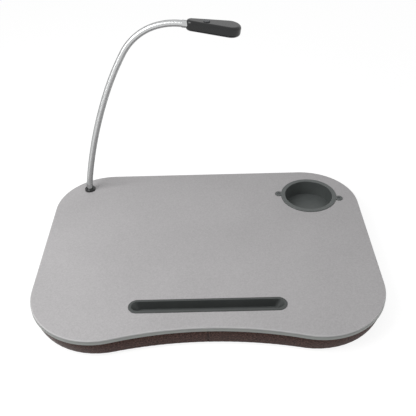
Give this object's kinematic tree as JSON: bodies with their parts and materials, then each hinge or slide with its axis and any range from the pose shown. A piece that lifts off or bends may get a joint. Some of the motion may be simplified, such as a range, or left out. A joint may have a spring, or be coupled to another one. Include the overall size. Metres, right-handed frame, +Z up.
{
  "type": "lap tray",
  "caption": "Kidney-shaped lap tray on a thin fabric cushion, with a pen trough, a cup well and a bendable gooseneck reading lamp.",
  "frame": {"origin": "on the surface that the cushion rests on, under the middle of the board's plan", "axes": "+X to the user's right, along the board's width; +Y away from the user; +Z up"},
  "size_m": [0.508, 0.386, 0.3339],
  "materials": {
    "fibreboard": "sawn, hidden",
    "grey_foil": "fine matt emboss",
    "tray_plastic": "satin moulded",
    "holder_plastic": "satin moulded",
    "black_screw": "black oxide",
    "foam": "open-cell foam",
    "brown_fabric": "plain weave",
    "zinc_steel": "zinc plated",
    "black_plastic": "satin moulded",
    "chrome": "bright plated",
    "clear_lens": "clear moulded",
    "circuit_board": "solder mask",
    "led": "clear epoxy",
    "switch_plastic": "satin moulded",
    "battery_plastic": "fine spark texture",
    "cell_jacket": "plain plastic jacket",
    "contact_metal": "nickel plated",
    "wire_sheath": "smooth"
  },
  "bodies": {
    "tray": {"board_core": "fibreboard", "board_foil": "grey_foil", "pen_tray": "tray_plastic", "cup_holder": "holder_plastic", "cup_holder_screws": "black_screw", "cushion_foam": "foam", "cushion_base_panel": "brown_fabric", "cushion_band_left": "brown_fabric", "cushion_band_right": "brown_fabric", "base_bush": "zinc_steel", "base_collar": "black_plastic", "base_washer": "zinc_steel", "base_nut": "zinc_steel", "battery_box": "battery_plastic", "battery_box_screws": "black_screw", "battery_cells": "cell_jacket", "contact_leaves": "contact_metal", "contact_plates": "contact_metal", "battery_lead": "wire_sheath"},
    "neck_1": {"neck_ferrule": "chrome", "neck_retainer": "zinc_steel", "neck_segment_01": "chrome", "neck_wire_01": "wire_sheath"},
    "neck_2": {"neck_segment_02": "chrome", "neck_wire_02": "wire_sheath"},
    "neck_3": {"neck_segment_03": "chrome", "neck_wire_03": "wire_sheath"},
    "neck_4": {"neck_segment_04": "chrome", "neck_wire_04": "wire_sheath"},
    "neck_5": {"neck_segment_05": "chrome", "neck_wire_05": "wire_sheath"},
    "neck_6": {"neck_segment_06": "chrome", "neck_wire_06": "wire_sheath"},
    "neck_7": {"neck_segment_07": "chrome", "neck_wire_07": "wire_sheath"},
    "neck_8": {"neck_segment_08": "chrome", "neck_wire_08": "wire_sheath"},
    "neck_9": {"neck_segment_09": "chrome", "neck_wire_09": "wire_sheath"},
    "lamp_head": {"neck_segment_10": "chrome", "neck_wire_10": "wire_sheath", "head_ferrule": "chrome", "head_upper_shell": "black_plastic", "head_lower_shell": "black_plastic", "head_lens": "clear_lens", "led_board": "circuit_board", "leds": "led", "switch_body": "switch_plastic", "head_screws": "black_screw"},
    "switch_button": {"switch_button": "switch_plastic"},
    "battery_door": {"battery_door": "battery_plastic"}
  },
  "joints": [
    {"name": "neck_swivel", "type": "hinge", "parent": "tray", "child": "neck_1", "pos_m": [-0.2038, 0.1539, 0.033], "axis": [0, 0, 1], "range_deg": [-160, 160]},
    {"name": "neck_bend_1", "type": "hinge", "parent": "neck_1", "child": "neck_2", "pos_m": [-0.19584, 0.1539, 0.08223], "axis": [0, 1, 0], "range_deg": [-10.5, 7]},
    {"name": "neck_bend_2", "type": "hinge", "parent": "neck_2", "child": "neck_3", "pos_m": [-0.18713, 0.1539, 0.11716], "axis": [0, 1, 0], "range_deg": [-10.5, 7]},
    {"name": "neck_bend_3", "type": "hinge", "parent": "neck_3", "child": "neck_4", "pos_m": [-0.17706, 0.1539, 0.15172], "axis": [0, 1, 0], "range_deg": [-10.5, 7]},
    {"name": "neck_bend_4", "type": "hinge", "parent": "neck_4", "child": "neck_5", "pos_m": [-0.16549, 0.1539, 0.1858], "axis": [0, 1, 0], "range_deg": [-10.5, 7]},
    {"name": "neck_bend_5", "type": "hinge", "parent": "neck_5", "child": "neck_6", "pos_m": [-0.15244, 0.1539, 0.21935], "axis": [0, 1, 0], "range_deg": [-10.5, 7]},
    {"name": "neck_bend_6", "type": "hinge", "parent": "neck_6", "child": "neck_7", "pos_m": [-0.13751, 0.1539, 0.2521], "axis": [0, 1, 0], "range_deg": [-10.5, 7]},
    {"name": "neck_bend_7", "type": "hinge", "parent": "neck_7", "child": "neck_8", "pos_m": [-0.12034, 0.1539, 0.28373], "axis": [0, 1, 0], "range_deg": [-10.5, 7]},
    {"name": "neck_bend_8", "type": "hinge", "parent": "neck_8", "child": "neck_9", "pos_m": [-0.09663, 0.1539, 0.31053], "axis": [0, 1, 0], "range_deg": [-10.5, 7]},
    {"name": "neck_bend_9", "type": "hinge", "parent": "neck_9", "child": "lamp_head", "pos_m": [-0.06438, 0.1539, 0.32592], "axis": [0, 1, 0], "range_deg": [-10.5, 7]},
    {"name": "switch_press", "type": "slide", "parent": "lamp_head", "child": "switch_button", "axis": [-0.1478, 0, -0.989], "range_m": [0, 0.0012], "stiffness_N_per_m": 600, "springref_m": -0.002},
    {"name": "battery_door_hinge", "type": "hinge", "parent": "tray", "child": "battery_door", "pos_m": [-0.14855, 0.16375, 0.007], "axis": [1, 0, 0], "range_deg": [0, 95]}
  ],
  "couplings": [
    {"joint": "neck_bend_2", "follows": "neck_bend_1", "ratio": 1},
    {"joint": "neck_bend_3", "follows": "neck_bend_1", "ratio": 1},
    {"joint": "neck_bend_4", "follows": "neck_bend_1", "ratio": 1},
    {"joint": "neck_bend_5", "follows": "neck_bend_1", "ratio": 1},
    {"joint": "neck_bend_6", "follows": "neck_bend_1", "ratio": 1},
    {"joint": "neck_bend_7", "follows": "neck_bend_1", "ratio": 1},
    {"joint": "neck_bend_8", "follows": "neck_bend_1", "ratio": 1},
    {"joint": "neck_bend_9", "follows": "neck_bend_1", "ratio": 1}
  ]
}
